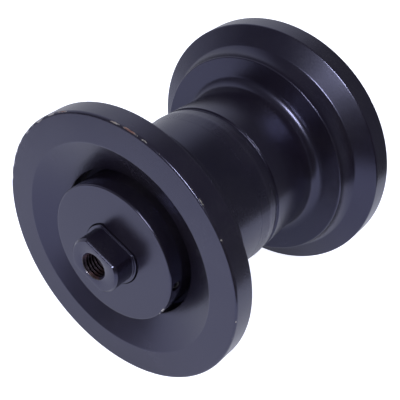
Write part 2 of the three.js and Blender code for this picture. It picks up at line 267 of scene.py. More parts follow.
def flange_root(steps=10):
    """The tread curves up to the flange in one wide arc. Its last point is the foot of the inner cone."""
    arc = []
    for i in range(steps + 1):
        turn = ROOT_SWEEP * i / steps
        rise = ROOT_RADIUS * (1 - math.cos(turn))
        arc.append((ROOT_START + ROOT_RADIUS * math.sin(turn), TREAD_RADIUS + rise, 0))
    foot_y, foot_radius, _ = arc.pop()
    return [*arc, (foot_y, foot_radius, CONE_FOOT_ROUNDING)]


def shell_corners(side):
    outside = [
        (TREAD_START, HUB_WAIST_RADIUS, HUB_FILLET),
        (TREAD_START, TREAD_RADIUS, 0.8),
        *flange_root(),
        (RIM_START, flange_radius, RIM_ROUNDING["inner"]),
        (shell_end, flange_radius, RIM_ROUNDING["face"]),
        (shell_end, FACE_EDGE_RADIUS, 0.7),
    ]
    inside = [
        (RECESS_FLOOR, RECESS_BORE_RADIUS, 0.8),
        (ring_seal_plane, RECESS_BORE_RADIUS, 0.6),
        (ring_seal_plane, SEAL_SEAT_RADII[1], 0.4),
        (SEAL_FLOOR, SEAL_SEAT_RADII[0], 0.6),
        (SEAL_FLOOR, BUSH_FLANGE_SEAT_RADIUS, 0.3),
        (BUSH_FLANGE_SEAT, BUSH_FLANGE_SEAT_RADIUS, 0.3),
        (BUSH_FLANGE_SEAT, BUSH_SEAT_RADIUS, 0.3),
        (CHAMBER_END, BUSH_SEAT_RADIUS, 0.3),
        (CHAMBER_END, CHAMBER_RADIUS, 0.3),
    ]
    return seam_edge(side) + outside + inside


# %% [markdown]
# ## Knocks and chips
# A roller is handled by the crate, so its paint is chipped where the rims touch. Two things make a chip look
# real: a small dent in the metal itself, and paint that breaks off with a ragged outline. The dent is pressed
# into the points here. The outline is left to the material, which reads a soft mark that is laid on the same
# spot: "chip" says where paint is thin, and "rust" where the bare metal has browned.

# %% Press dents and lay chip marks
DENT_SHARE = 0.45  # how much of its dent a spot keeps once the paint has filled it


def angle_between(angles, degrees):
    return np.abs((np.degrees(angles) - degrees + 180) % 360 - 180)


def knock(y, radius, angles, marks, spot):
    """spot: degrees round the rim, half length in degrees, y, radius, reach, dent, rust from 0 to 1."""
    degrees, half_length, spot_y, spot_radius, reach, dent, rust = spot
    along = angle_between(angles, degrees)[None, :] / half_length
    across = np.hypot(y - spot_y, radius - spot_radius) / reach
    strength = np.exp(-(along ** 2) - across ** 2)
    marks["chip"] = np.maximum(marks["chip"], strength)
    marks["rust"] = np.maximum(marks["rust"], strength * rust)
    bite = DENT_SHARE * dent * np.clip(strength * 1.6 - 0.5, 0, 1)
    return y - np.sign(spot_y) * bite * 0.7, radius - bite


def knocked(spots):
    def shape(y, radius, angles, marks):
        marks["chip"] = np.zeros_like(radius)
        marks["rust"] = np.zeros_like(radius)
        for spot in spots:
            y, radius = knock(y, radius, angles, marks, spot)
        return y, radius, marks
    return shape


def rim_spots(side, places, radius, end):
    """Each place is (degrees, half length in degrees, mm back from the face, reach, dent, rust)."""
    return [
        (degrees, half, side * (end - back), radius, reach, dent, rust)
        for degrees, half, back, reach, dent, rust in places
    ]


NEAR_RIM_CHIPS = [
    (139, 3.0, 0.0, 2.2, 0.25, 0.0), (134, 1.4, 0.1, 1.6, 0.20, 0.0), (128, 3.4, 0.1, 1.5, 0.25, 0.2),
    (120, 2.8, 0.2, 0.7, 0.20, 0.3), (113, 3.2, 0.4, 0.6, 0.15, 0.9), (95, 2.0, 0.2, 0.5, 0.15, 0.6),
    (87, 3.4, 0.3, 0.6, 0.15, 0.7), (79.5, 3.6, 0.4, 0.7, 0.15, 1.0), (72, 2.2, 0.2, 0.5, 0.10, 0.7),
    (65.5, 0.9, 0.3, 0.7, 0.15, 0.0), (50, 2.2, 0.4, 0.55, 0.10, 0.0), (44, 2.8, 0.7, 0.5, 0.10, 0.1),
    (29, 0.8, 0.3, 0.7, 0.10, 0.0), (147, 1.6, 0.0, 2.0, 0.20, 0.2), (153, 2.2, 0.0, 2.2, 0.20, 0.0),
    (160, 3.0, 0.0, 2.4, 0.25, 0.1), (168, 2.6, 0.0, 2.2, 0.20, 0.0), (355.5, 1.4, 0.1, 0.8, 0.10, 0.0),
    (347, 1.5, 0.2, 0.8, 0.15, 0.0), (243, 1.8, 0.3, 0.8, 0.15, 0.3), (286, 1.3, 0.3, 0.8, 0.15, 0.2),
    (205, 1.2, 0.1, 1.2, 0.15, 0.1),
]
FAR_RIM_CHIPS = [
    (36, 1.2, 0.5, 1.5, 0.25, 0.0), (33, 0.8, 0.4, 1.0, 0.15, 0.0), (118, 1.6, 0.4, 1.0, 0.2, 0.3),
    (196, 2.0, 0.3, 1.2, 0.25, 0.6), (211, 1.2, 0.3, 0.9, 0.2, 0.0), (262, 1.8, 0.4, 1.0, 0.2, 0.2),
    (309, 2.4, 0.5, 1.3, 0.25, 0.8), (336, 1.0, 0.3, 0.9, 0.15, 0.0), (78, 1.2, 0.3, 0.9, 0.2, 0.0),
]
RIM_CHIPS = {NEAR: NEAR_RIM_CHIPS, FAR: FAR_RIM_CHIPS}

# %% Build both halves of the shell
SHELL_COLUMNS = 320
for side, end in END_NAMES.items():
    spots = rim_spots(side, RIM_CHIPS[side], flange_radius, shell_end)
    node = f"roller_shell_{end}"
    half = spin(f"shell_half_{end}", shell_corners(side), side, SHELL_COLUMNS, knocked(spots))
    add_piece(f"shell_half_{end}", half, "roller", node, "shell_paint")

# %% [markdown]
# ## The girth weld
# The halves are welded round the waist and the bead is dressed until it is only slightly crowned. A plain
# ring would look cast, so a little noise lifts and lowers its points as a dressed bead does. On its near side
# the bead runs out thinly over the shell, so only a faint line shows there.

# %% Lay the weld bead
BEAD_CROWN_RADIUS = 48.85
BEAD_WAVES = 0.07  # mm
BEAD_TOE = 2.2  # how far the near side runs out thinly over the shell


def dressed(y, radius, angles, marks):
    for i, j in np.ndindex(radius.shape):
        if radius[i, j] < HUB_SEAM_RADIUS - 1.5:
            continue
        around = Vector((math.cos(angles[j]), math.sin(angles[j]), y[i, j] * 0.06)) * 7
        ripple = math.sin(angles[j] * 96 + 1.4 * noise.noise(around)) * 0.25
        radius[i, j] += BEAD_WAVES * (noise.noise(around) + ripple)
    return y, radius, marks


bead_middle = (WELD_EDGES[FAR] - WELD_EDGES[NEAR]) / 2
bead_toe = WELD_EDGES[NEAR] + BEAD_TOE
bead_corners = [
    (-0.6, WELD_ROOT_RADIUS + 0.3, 0),
    (0.6 - WELD_EDGES[NEAR], HUB_SEAM_RADIUS - 0.6, 0),
    (-bead_toe, HUB_SEAM_RADIUS - 0.2, 0),
    (0.15 - bead_toe, HUB_SEAM_RADIUS - 0.05, 0.1),
    (1.6 - bead_toe, HUB_SEAM_RADIUS + 0.03, 3),
    (bead_middle, BEAD_CROWN_RADIUS, 12),
    (WELD_EDGES[FAR] - 0.5, HUB_SEAM_RADIUS, 0.4),
    (WELD_EDGES[FAR] - 0.4, RELIEF_RADIUS, 0),
    (0.6, WELD_ROOT_RADIUS + 0.3, 0),
]
bead = spin("girth_weld_bead", bead_corners, FAR, SHELL_COLUMNS, dressed)
add_piece("girth_weld_bead", bead, "roller", "shell_girth_weld", "weld")

# %% [markdown]
# ## The shaft
# The shaft is the one long piece of bar in the roller. It could be a cylinder cut by boolean boxes, but the
# edges that a boolean leaves can't be softened evenly. Instead each row of points is an outline: a circle
# trimmed by two flats, with a soft corner where they meet. The rows near those corners need more points, so
# the angles are packed closer there.

# %% Outlines with two flats
FLATS_ANGLE = math.radians(64.5)
SEAT_RADIUS, SEAT_HALF_FLATS = 17.7, 13.0
TIP_RADIUS, TIP_HALF_FLATS = 16.0, 12.0
SEAT_START, SEAT_END = 60.0, 80.1
ROUND = 1000.0  # half width of flats that never touch the circle


def packed_angles(base_step=2.5, fine_step=0.5, half_band=5):
    corner = math.degrees(math.acos(SEAT_HALF_FLATS / SEAT_RADIUS))
    middle = math.degrees(FLATS_ANGLE)
    degrees = set(np.arange(0, 360, base_step))
    for flat in (middle, middle + 180):
        for edge in (flat - corner, flat + corner):
            start = round((edge - half_band) / fine_step) * fine_step
            degrees |= {round(a % 360, 3) for a in np.arange(start, edge + half_band, fine_step)}
    return np.radians(sorted(degrees))


def softer_of(a, b, softness):
    """The smaller of two lengths, blended over a short range so that an edge is rounded."""
    share = np.clip(0.5 + 0.5 * (b - a) / softness, 0, 1)
    return b + (a - b) * share - softness * share * (1 - share)


SHAFT_ANGLES = packed_angles()


def outline(radius, half_flats, softness=0.4):
    flat = half_flats / np.maximum(np.abs(np.cos(SHAFT_ANGLES - FLATS_ANGLE)), 1e-3)
    return softer_of(radius, np.minimum(flat, 4 * radius), softness)


# %% [markdown]
# ## A real thread
# Each end of the shaft takes a bolt. The thread is part of the same mesh: inside the hole the radius follows
# a triangle wave that climbs one pitch per turn. It is drawn with ten rows to a pitch, so it catches the
# light as a cut thread does, which a bump map can't do once the camera looks down the hole.

# %% Cut the threaded hole
THREAD_PITCH = 2.0
THREAD_MINOR, THREAD_MAJOR = 6.9, 8.0
HOLE_MOUTH_RADIUS = 8.1
HOLE_DEPTH = 24.0
ROWS_PER_PITCH = 10


def thread_row(y, side):
    """The hole's radius at every angle, y mm from the shaft's middle. The same turn climbs at both ends."""
    climb = side * y / THREAD_PITCH + SHAFT_ANGLES / (2 * math.pi)
    ridge = 1 - np.abs(2 * (climb % 1) - 1)
    runout = np.clip((y - (shaft_end - HOLE_DEPTH) - 1) / 2, 0, 1)
    groove = THREAD_MINOR + (THREAD_MAJOR - THREAD_MINOR) * np.clip((ridge - 0.2) / 0.65, 0, 1) * runout
    return np.maximum(groove, HOLE_MOUTH_RADIUS - (shaft_end - y))


def hole_rows(side):
    """From the bottom of the drilled hole to its mouth."""
    bottom, top = shaft_end - HOLE_DEPTH, shaft_end - 0.3
    count = int((top - bottom) / THREAD_PITCH * ROWS_PER_PITCH)
    levels = [bottom + (top - bottom) * i / count for i in range(count + 1)]
    rows = [(side * y, thread_row(y, side), 0.0) for y in levels]
    lip = [(shaft_end - 0.12, HOLE_MOUTH_RADIUS - 0.1), (shaft_end, HOLE_MOUTH_RADIUS + 0.1)]
    return rows + [(side * y, np.full_like(SHAFT_ANGLES, r), 1.0) for y, r in lip]


# %% Turn the outside of the shaft
ORING_Y, ORING_GROOVE_WIDTH, ORING_GROOVE_RADIUS = 55.1, 3.6, 19.5
TIP_CHAMFER = 1.2
FLAT_EDGE = 0.9  # bevel where a flat meets the end face


def shaft_corners():
    groove_near, groove_far = ORING_Y - ORING_GROOVE_WIDTH / 2, ORING_Y + ORING_GROOVE_WIDTH / 2
    return [
        (0, 0, 0, "journal"),
        (0, journal_radius, 0, "journal"),
        (groove_near, journal_radius, 0.2, "journal"),
        (groove_near, ORING_GROOVE_RADIUS, 0.3, "journal"),
        (groove_far, ORING_GROOVE_RADIUS, 0.3, "journal"),
        (groove_far, journal_radius, 0.2, "journal"),
        (SEAT_START, journal_radius, 0.8, "journal"),
        (SEAT_START, SEAT_RADIUS, 0.3, "seat"),
        (SEAT_END, SEAT_RADIUS, 0.5, "seat"),
        (SEAT_END, TIP_RADIUS, 0.4, "tip"),
        (shaft_end - TIP_CHAMFER, TIP_RADIUS, 0.5, "tip"),
        (shaft_end, TIP_RADIUS - TIP_CHAMFER, 0.3, "tip"),
        (shaft_end, 0, 0, "tip"),
    ]


def half_flats_at(section, y, radius):
    if section == "journal":
        return ROUND
    if y > shaft_end - TIP_CHAMFER - 1:
        on_face = max(0, TIP_RADIUS - TIP_CHAMFER - radius) if y > shaft_end - 0.05 else 0
        return TIP_HALF_FLATS - max(0, y - (shaft_end - FLAT_EDGE)) - on_face
    if y < SEAT_START + 1:
        return SEAT_HALF_FLATS + (radius - SEAT_RADIUS)
    share = (radius - TIP_RADIUS) / (SEAT_RADIUS - TIP_RADIUS)
    return TIP_HALF_FLATS + share * (SEAT_HALF_FLATS - TIP_HALF_FLATS)


def outside_rows(side):
    """From the middle of the shaft to the rim of its end face."""
    rows = [r for r in rounded(shaft_corners()) if r[1] > 0]
    return [(side * y, outline(r, half_flats_at(section, y, r)), edge) for y, r, edge, section in rows]


# %% Close the shaft from hole to hole
DRILL_POINT = 0.6  # depth of a drill's point for each mm of its radius
PLUG_SEAT_RADIUS, PLUG_SEAT_START = 4.3, 60.0
GALLERY_RADIUS, GALLERY_END = 2.5, -4.0


def plain_rows(pairs):
    return [(y, np.full_like(SHAFT_ANGLES, radius), 0.0) for y, radius in pairs]


hole_bottom = shaft_end - HOLE_DEPTH
gallery = plain_rows([
    (hole_bottom - (THREAD_MINOR - PLUG_SEAT_RADIUS) * DRILL_POINT, PLUG_SEAT_RADIUS),
    (PLUG_SEAT_START, PLUG_SEAT_RADIUS),
    (PLUG_SEAT_START - 0.05, GALLERY_RADIUS),
    (GALLERY_END, GALLERY_RADIUS),
    (GALLERY_END - GALLERY_RADIUS * DRILL_POINT, 0),
])
shaft_rows = (
    plain_rows([(THREAD_MINOR * DRILL_POINT - hole_bottom, 0)])
    + hole_rows(NEAR)
    + outside_rows(NEAR)[::-1]
    + outside_rows(FAR)[1:]
    + hole_rows(FAR)[::-1]
    + gallery
)
shaft_y, shaft_radius, shaft_edge = stacked(shaft_rows, SHAFT_ANGLES)
print("shaft:", len(shaft_rows), "rows of", len(SHAFT_ANGLES), "points")

# %% [markdown]
# ## Drilled holes
# Three holes cross the shaft's axis: one lets oil out at the middle, and one at each end takes a lock pin.
# They break through surfaces that are already finished, which is what a boolean is good at. The cutter is
# removed once its hole is part of the mesh.

# %% Drill the cross holes
PIN_SLANT = math.radians(21)
PIN_ANGLE = math.radians(-6.5)  # round the axis, from +X towards +Z
PIN_MOUTH = 74.6
PIN_RADIUS = 2.5
PIN_REACH = (39.6, 12.6)  # radius of the pin's outer and inner ends
PIN_DRILL_START = 50
PIN_HOLE_GAP = 0.3


def pin_point(side, radius):
    """A point on a lock pin's axis, in metres. The pin leans out, so a punch can reach it past the rim."""
    y = PIN_MOUTH - (collar_radius - radius) * math.tan(PIN_SLANT)
    return Vector((radius * math.cos(PIN_ANGLE), side * y, radius * math.sin(PIN_ANGLE))) * MM


def rod(name, start, end, radius, sides=48):
    """A capped cylinder between two points, used as a cutter. Points in metres, radius in mm."""
    work = bmesh.new()
    length = (end - start).length
    width = radius * MM
    bmesh.ops.create_cone(work, cap_ends=True, segments=sides, radius1=width, radius2=width, depth=length)
    turn = (end - start).to_track_quat("Z", "Y").to_matrix().to_4x4()
    bmesh.ops.transform(work, verts=work.verts, matrix=Matrix.Translation((start + end) / 2) @ turn)
    mesh = bpy.data.meshes.new(name)
    work.to_mesh(mesh)
    work.free()
    cutter = bpy.data.objects.new(name, mesh)
    bpy.context.scene.collection.objects.link(cutter)
    return cutter


def drilled(name, mesh, cutters):
    """The mesh with the cutters taken out of it."""
    blank = bpy.data.objects.new(name, mesh)
    bpy.context.scene.collection.objects.link(blank)
    for cutter in cutters:
        cut = blank.modifiers.new(cutter.name, "BOOLEAN")
        cut.operation, cut.solver, cut.object = "DIFFERENCE", "EXACT", cutter
    bpy.context.view_layer.update()
    done = bpy.data.meshes.new_from_object(blank.evaluated_get(bpy.context.evaluated_depsgraph_get()))
    for gone in [blank, *cutters]:
        bpy.data.objects.remove(gone)
    done.name = name
    return done


def pin_hole(side):
    bottom = pin_point(side, PIN_REACH[1] - PIN_HOLE_GAP)
    mouth = pin_point(side, PIN_DRILL_START)
    return rod(f"pin_hole_{END_NAMES[side]}", bottom, mouth, PIN_RADIUS + PIN_HOLE_GAP)


oil_way = rod("oil_way", Vector((0, 0, 0)), Vector((0, 0, -2 * journal_radius * MM)), GALLERY_RADIUS - 0.2)
shaft_marks = {"edge": shaft_edge}
blank_shaft = turned_mesh("shaft_bar", shaft_y, shaft_radius, SHAFT_ANGLES, closed=False, marks=shaft_marks)
shaft_mesh = drilled("shaft_bar", blank_shaft, [pin_hole(NEAR), pin_hole(FAR), oil_way])
add_piece("shaft_bar", shaft_mesh, "axle", "shaft", "shaft_paint")

# %% [markdown]
# ## The collars
# A collar closes each end. It can't turn, because its front plate is pierced with the shaft's own outline,
# and it holds the fixed half of the face seal. Its faces are one closed loop of rows, like the shell, but the
# rows in the pierced hole are outlines with flats.

# %% Turn the collars
SEAL_PLANE = ring_seal_plane
SKIRT_START = SEAL_PLANE + 0.8
COLLAR_FLOOR = 2 * SEAL_PLANE - SEAL_FLOOR
COLLAR_HUB_RADIUS = 27.0
COLLAR_HUB_START = bush_end + 0.3
SEAT_GAP = 0.45
COLLAR_CHIPS = [
    (329, 3.2, 0.3, 1.1, 0.2, 0.0), (322, 2.0, 0.3, 0.9, 0.15, 0.0), (201, 1.6, 0.3, 0.8, 0.1, 0.0),
]


def collar_corners():
    bore = journal_radius + 0.3
    hole = SEAT_RADIUS + SEAT_GAP
    return [
        (collar_end, hole, 0.35, "seat"),
        (collar_end, collar_radius, 0.9),
        (SKIRT_START, collar_radius, 0.5),
        (SKIRT_START, SEAL_SEAT_RADII[1] - 0.18, 0.3),
        (COLLAR_FLOOR, SEAL_SEAT_RADII[0], 0.6),
        (COLLAR_FLOOR, COLLAR_HUB_RADIUS, 0.6),
        (COLLAR_HUB_START, COLLAR_HUB_RADIUS, 0.5),
        (COLLAR_HUB_START, bore, 0.4),
        (SEAT_START + 0.3, bore, 0.3),
        (SEAT_START + 0.3, hole, 0.3, "seat"),
    ]


def collar_mesh(side):
    rows = rounded(collar_corners())
    hole = SEAT_RADIUS + SEAT_GAP
    flats = [SEAT_HALF_FLATS + SEAT_GAP + (r[1] - hole) if r[3] == "seat" else ROUND for r in rows]
    outlines = [(side * r[0], outline(r[1], flat), r[2]) for r, flat in zip(rows, flats)]
    y, radius, edge = stacked(outlines, SHAFT_ANGLES)
    marks = {"edge": edge, "chip": np.zeros_like(radius), "rust": np.zeros_like(radius)}
    if side == NEAR:
        for spot in rim_spots(side, COLLAR_CHIPS, collar_radius, collar_end):
            y, radius = knock(y, radius, SHAFT_ANGLES, marks, spot)
    name = f"collar_{END_NAMES[side]}_cap"
    blank = turned_mesh(name, y, radius, SHAFT_ANGLES, marks=marks)
    return drilled(name, blank, [pin_hole(side)])


for side, end in END_NAMES.items():
    add_piece(f"collar_{end}_cap", collar_mesh(side), "axle", f"collar_{end}", "collar_paint")

# %% [markdown]
# ## Lock pins
# A rolled pin is a strip of spring steel bent into a tube that doesn't quite close. It is drawn as the C of
# its section, carried along the pin's axis, with both ends tapered so that they enter the hole.

# %% Roll the pins
PIN_BORE_RADIUS = 1.5
PIN_SLOT = 0.9
PIN_LEAD = 0.8  # length of the tapered ends


def rolled_section(outer, steps=28):
    gap = math.asin(PIN_SLOT / 2 / PIN_RADIUS)
    sweep = [gap + (2 * math.pi - 2 * gap) * i / steps for i in range(steps + 1)]
    return [(outer * math.cos(a), outer * math.sin(a)) for a in sweep] + [
        (PIN_BORE_RADIUS * math.cos(a), PIN_BORE_RADIUS * math.sin(a)) for a in reversed(sweep)
    ]


def pin_mesh(side):
    outer, inner = (pin_point(side, reach) for reach in PIN_REACH)
    length = (inner - outer).length / MM
    frame_in_space = Matrix.Translation(outer) @ (inner - outer).to_track_quat("Z", "Y").to_matrix().to_4x4()
    stations = [(0, -0.35), (PIN_LEAD, 0), (length - PIN_LEAD, 0), (length, -0.35)]
    points = []
    for along, grow in stations:
        section = rolled_section(PIN_RADIUS + grow)
        points += [frame_in_space @ (Vector((x, z, along)) * MM) for x, z in section]
    count = len(points) // len(stations)
    faces = []
    for s in range(len(stations) - 1):
        for i in range(count):
            j = (i + 1) % count
            faces.append((s * count + i, s * count + j, (s + 1) * count + j, (s + 1) * count + i))
    last = (len(stations) - 1) * count
    for i in range(count // 2 - 1):
        k = count - 1 - i
        faces.append((i, k, k - 1, i + 1))
        faces.append((last + i, last + i + 1, last + k - 1, last + k))
    mesh = bpy.data.meshes.new("rolled_pin")
    mesh.from_pydata(points, [], faces)
    return mesh


for side, end in END_NAMES.items():
    add_piece(f"rolled_pin_{end}", pin_mesh(side), "axle", f"collar_lock_pin_{end}", "spring_steel")

# %% [markdown]
# ## Bushes
# Each bush is a steel tube lined with bronze, with a flange that takes the side load. Spiral oil grooves in
# the lining spread the oil. They are shallow, so the points of the bore are simply pushed outwards along a
# curve that winds once round it.

# %% Turn and groove the bushes
BUSH_START, BUSH_FLANGE_START = 18.0, 46.0
BUSH_RADIUS, BUSH_FLANGE_RADIUS = 26.0, 31.0
BUSH_BORE_RADIUS = journal_radius + 0.1
OIL_GROOVE_DEPTH = 0.7
OIL_GROOVE_HALF_WIDTH = 1.6


def grooved(y, radius, angles, marks):
    run = (np.abs(y) - BUSH_START) / (bush_end - BUSH_START)
    for way in (1, -1):
        offset = (angles[None, :] - way * run * 2 * math.pi + math.pi) % (2 * math.pi) - math.pi
        depth = OIL_GROOVE_DEPTH * np.exp(-((offset * BUSH_BORE_RADIUS / OIL_GROOVE_HALF_WIDTH) ** 2))
        in_bore = (radius < BUSH_BORE_RADIUS + 0.9) & (run > 0.12) & (run < 0.88)
        radius = radius + np.where(in_bore, depth, 0)
    return y, radius, marks


def bush_corners():
    bore_steps = 24
    step = (bush_end - BUSH_START) / bore_steps
    bore = [(bush_end - step * i, BUSH_BORE_RADIUS, 0) for i in range(1, bore_steps)]
    return [
        (BUSH_START, BUSH_BORE_RADIUS, 0.5),
        (BUSH_START, BUSH_RADIUS, 0.6),
        (BUSH_FLANGE_START, BUSH_RADIUS, 0.4),
        (BUSH_FLANGE_START, BUSH_FLANGE_RADIUS, 0.3),
        (bush_end, BUSH_FLANGE_RADIUS, 0.4),
        (bush_end, BUSH_BORE_RADIUS, 0.5),
        *bore,
    ]


for side, end in END_NAMES.items():
    bush = spin(f"flanged_bush_{end}", bush_corners(), side, 144, grooved)
    add_piece(f"flanged_bush_{end}", bush, "roller", f"bush_{end}", "bush_bronze")

# %% [markdown]
# ## Face seals
# Oil is kept in by two lapped iron rings that run face to face. One turns with the shell, the other stays
# with the collar, and each floats on a rubber toric. The halves are mirror images in the seal plane, so one
# set of corners makes all four rings, and one circle makes all four torics.

# %% Turn the seal rings, torics and O-rings
RING_BORE_RADIUS = 29.0
RING_FACE_RADIUS = 34.5
RING_TAIL = 50.2
TORIC_Y, TORIC_RADIUS, TORIC_SECTION = 52.3, 34.15, 2.4
ORING_SECTION = 1.1


def turning_ring_corners():
    face = SEAL_PLANE - 0.15
    return [
        (face, RING_BORE_RADIUS, 0.3),
        (face, RING_FACE_RADIUS, 0.3),
        (face - 2.15, RING_FACE_RADIUS, 0.4),
        (face - 2.95, RING_BORE_RADIUS + 2.8, 0.5),
        (RING_TAIL, RING_BORE_RADIUS + 2.0, 0.5),
        (RING_TAIL, RING_BORE_RADIUS, 0.3),
    ]


def circle_corners(middle_y, middle_radius, section, steps=28):
    turns = [2 * math.pi * i / steps for i in range(steps)]
    return [(middle_y + section * math.cos(a), middle_radius + section * math.sin(a), 0) for a in turns]


def across_seal_plane(corners):
    return [(2 * SEAL_PLANE - y, radius, rounding) for y, radius, rounding in corners]


toric_corners = circle_corners(TORIC_Y, TORIC_RADIUS, TORIC_SECTION)
oring_corners = circle_corners(ORING_Y, ORING_GROOVE_RADIUS + ORING_SECTION + 0.2, ORING_SECTION, 20)
for side, end in END_NAMES.items():
    for body, state, place in (("roller", "rotating", list), ("axle", "fixed", across_seal_plane)):
        ring = spin(f"lapped_ring_{state}_{end}", place(turning_ring_corners()), side, 144)
        add_piece(f"lapped_ring_{state}_{end}", ring, body, f"seal_ring_{state}_{end}", "seal_iron")
        toric = spin(f"toric_ring_{state}_{end}", place(toric_corners), side, 144)
        add_piece(f"toric_ring_{state}_{end}", toric, body, f"toric_{state}_{end}", "nitrile")
    o_ring = spin(f"o_ring_{end}", oring_corners, side, 128)
    add_piece(f"o_ring_{end}", o_ring, "axle", f"collar_o_ring_{end}", "nitrile")

# %% [markdown]
# ## The gallery plug
# The oil goes in through the far end of the shaft and a small plug shuts it off at the bottom of the bolt
# hole. Its hexagon socket is cut by the same trick as the shaft's flats: the row's radius follows the six
# sides.

# %% Make the plug
PLUG_GAP = 0.3
SOCKET_HALF_FLATS = 2.0
SOCKET_DEPTH = 3.2
plug_low, plug_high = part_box("oil_gallery_plug")
plug_start, plug_end = plug_low.y / MM, plug_high.y / MM
plug_radius = PLUG_SEAT_RADIUS - PLUG_GAP


def plug_mesh():
    angles = even_angles(96)
    sixth = math.pi / 3
    hexagon = SOCKET_HALF_FLATS / np.cos((angles + sixth / 2) % sixth - sixth / 2)
    floor = plug_end - SOCKET_DEPTH
    outside = rounded([
        (plug_start, 0, 0), (plug_start, plug_radius, 0.5), (plug_end, plug_radius, 0.4), (plug_end, 0, 0),
    ])
    rows = [(y, np.full_like(angles, r), edge) for y, r, edge, _ in outside[:-1]]
    rows += [(plug_end, hexagon + 0.15, 1.0), (plug_end - 0.15, hexagon, 1.0), (floor, hexagon, 0.0)]
    rows += [(floor, hexagon * 0.9, 0.0), (floor - 0.6, np.zeros_like(angles), 0.0)]
    y, radius, edge = stacked(rows, angles)
    return turned_mesh("hex_plug", y, radius, angles, closed=False, marks={"edge": edge})


add_piece("hex_plug", plug_mesh(), "axle", "oil_gallery_plug", "spring_steel")

# %% [markdown]
# ## Camera
# The camera stands half a metre away, above the near end and to one side of it. The long lens keeps the two
# flanges close to their true sizes, and from here the near face, the waist and the far flange all show.

# %% Place the camera
CAMERA_PLACE = Vector((0.2624, -0.3387, 0.2818))
CAMERA_LENS = 78.35  # mm, on a 36 mm sensor

camera_data = bpy.data.cameras.new("camera")
camera_data.lens = CAMERA_LENS
camera_data.sensor_width = 36
camera = bpy.data.objects.new("camera", camera_data)
camera.location = CAMERA_PLACE
camera.rotation_euler = Vector((-0.5103, 0.6527, -0.5599)).to_track_quat("-Z", "Y").to_euler()
bpy.context.scene.collection.objects.link(camera)
bpy.context.scene.camera = camera

# %% [markdown]
# ## Wiring finishes
# Every finish is a small node tree. A few helpers keep the wiring readable: one adds a node, one multiplies
# or mixes, one turns a smooth value into a mask with a chosen edge.

# %% Helpers for node trees
def add_node(tree, kind, **settings):
    node = tree.nodes.new("ShaderNode" + kind)
    for key, value in settings.items():
        setattr(node, key, value)
    return node


def connect(tree, value, socket):
    """Links an output into a socket, or sets the socket if value is a plain number or colour."""
    if isinstance(value, bpy.types.NodeSocket):
        tree.links.new(value, socket)
    else:
        socket.default_value = value


def calculate(tree, operation, *values):
    node = add_node(tree, "Math", operation=operation)
    for value, socket in zip(values, node.inputs):
        connect(tree, value, socket)
    return node.outputs[0]


def mask(tree, value, low, high):
    """0 below low, 1 above high, smooth between."""
    node = add_node(tree, "MapRange", interpolation_type="SMOOTHSTEP")
    for socket, setting in (("Value", value), ("From Min", low), ("From Max", high)):
        connect(tree, setting, node.inputs[socket])
    return node.outputs["Result"]


def blend_colours(tree, share, a, b):
    node = add_node(tree, "Mix", data_type="RGBA")
    factor, colour_a, colour_b = node.inputs[0], node.inputs[6], node.inputs[7]
    for value, socket in ((share, factor), (a, colour_a), (b, colour_b)):
        connect(tree, value, socket)
    return node.outputs[2]


def noise_at(tree, vector, scale, detail=3.0, roughness=0.55):
    node = add_node(tree, "TexNoise")
    connect(tree, vector, node.inputs["Vector"])
    for socket, value in (("Scale", scale), ("Detail", detail), ("Roughness", roughness)):
        connect(tree, value, node.inputs[socket])
    return node.outputs["Fac"]


def effect(name, inputs, outputs):
    """An empty node group with named float or vector inputs and float outputs."""
    group = bpy.data.node_groups.new(name, "ShaderNodeTree")
    for socket, kind, default in inputs:
        made = group.interface.new_socket(socket, in_out="INPUT", socket_type="NodeSocket" + kind)
        if default is not None:
            made.default_value = default
    for socket in outputs:
        group.interface.new_socket(socket, in_out="OUTPUT", socket_type="NodeSocketFloat")
    return group, group.nodes.new("NodeGroupInput"), group.nodes.new("NodeGroupOutput")


def use_effect(tree, group, **values):
    """Places a group in a material and returns its outputs by name."""
    node = add_node(tree, "Group", node_tree=group)
    for socket, value in values.items():
        connect(tree, value, node.inputs[socket.replace("_", " ").capitalize()])
    return node.outputs


# %% [markdown]
# ## Effect: sprayed skin
# Sprayed enamel isn't a mirror. It has a fine orange peel about a millimetre across, and the film is thicker
# in some places than in others, which shows as slow changes of gloss. Both come from noise in the piece's
# own coordinates, so they stay on the piece when it turns.

# %% Build the sprayed skin
spray, given, out = effect(
    "sprayed_skin",
    [("Vector", "Vector", None), ("Peel scale", "Float", 900.0), ("Drift scale", "Float", 28.0)],
    ["Height", "Drift"],
)
peel = noise_at(spray, given.outputs["Vector"], given.outputs["Peel scale"], 2.0, 0.5)
drift = noise_at(spray, given.outputs["Vector"], given.outputs["Drift scale"], 4.0, 0.6)
spray.links.new(peel, out.inputs["Height"])
spray.links.new(drift, out.inputs["Drift"])

# %% [markdown]
# ## Effect: lathe lines
# A turning tool leaves a very fine spiral, which prints through the paint. It is the same in every direction
# round the axis, so the noise is read at (radius, y) and hardly changes with the angle.

# %% Build the lathe lines
lathe, given, out = effect(
    "lathe_lines",
    [("Vector", "Vector", None), ("Lines per metre", "Float", 2500.0)],
    ["Height", "Bands", "Radius"],
)
axes = add_node(lathe, "SeparateXYZ")
connect(lathe, given.outputs["Vector"], axes.inputs[0])
x_squared = calculate(lathe, "MULTIPLY", axes.outputs["X"], axes.outputs["X"])
z_squared = calculate(lathe, "MULTIPLY", axes.outputs["Z"], axes.outputs["Z"])
from_axis = calculate(lathe, "SQRT", calculate(lathe, "ADD", x_squared, z_squared))
flat_place = add_node(lathe, "CombineXYZ")
connect(lathe, from_axis, flat_place.inputs["X"])
connect(lathe, axes.outputs["Y"], flat_place.inputs["Y"])
connect(lathe, calculate(lathe, "MULTIPLY", axes.outputs["X"], 0.01), flat_place.inputs["Z"])
lines = noise_at(lathe, flat_place.outputs[0], given.outputs["Lines per metre"], 2.0, 0.6)
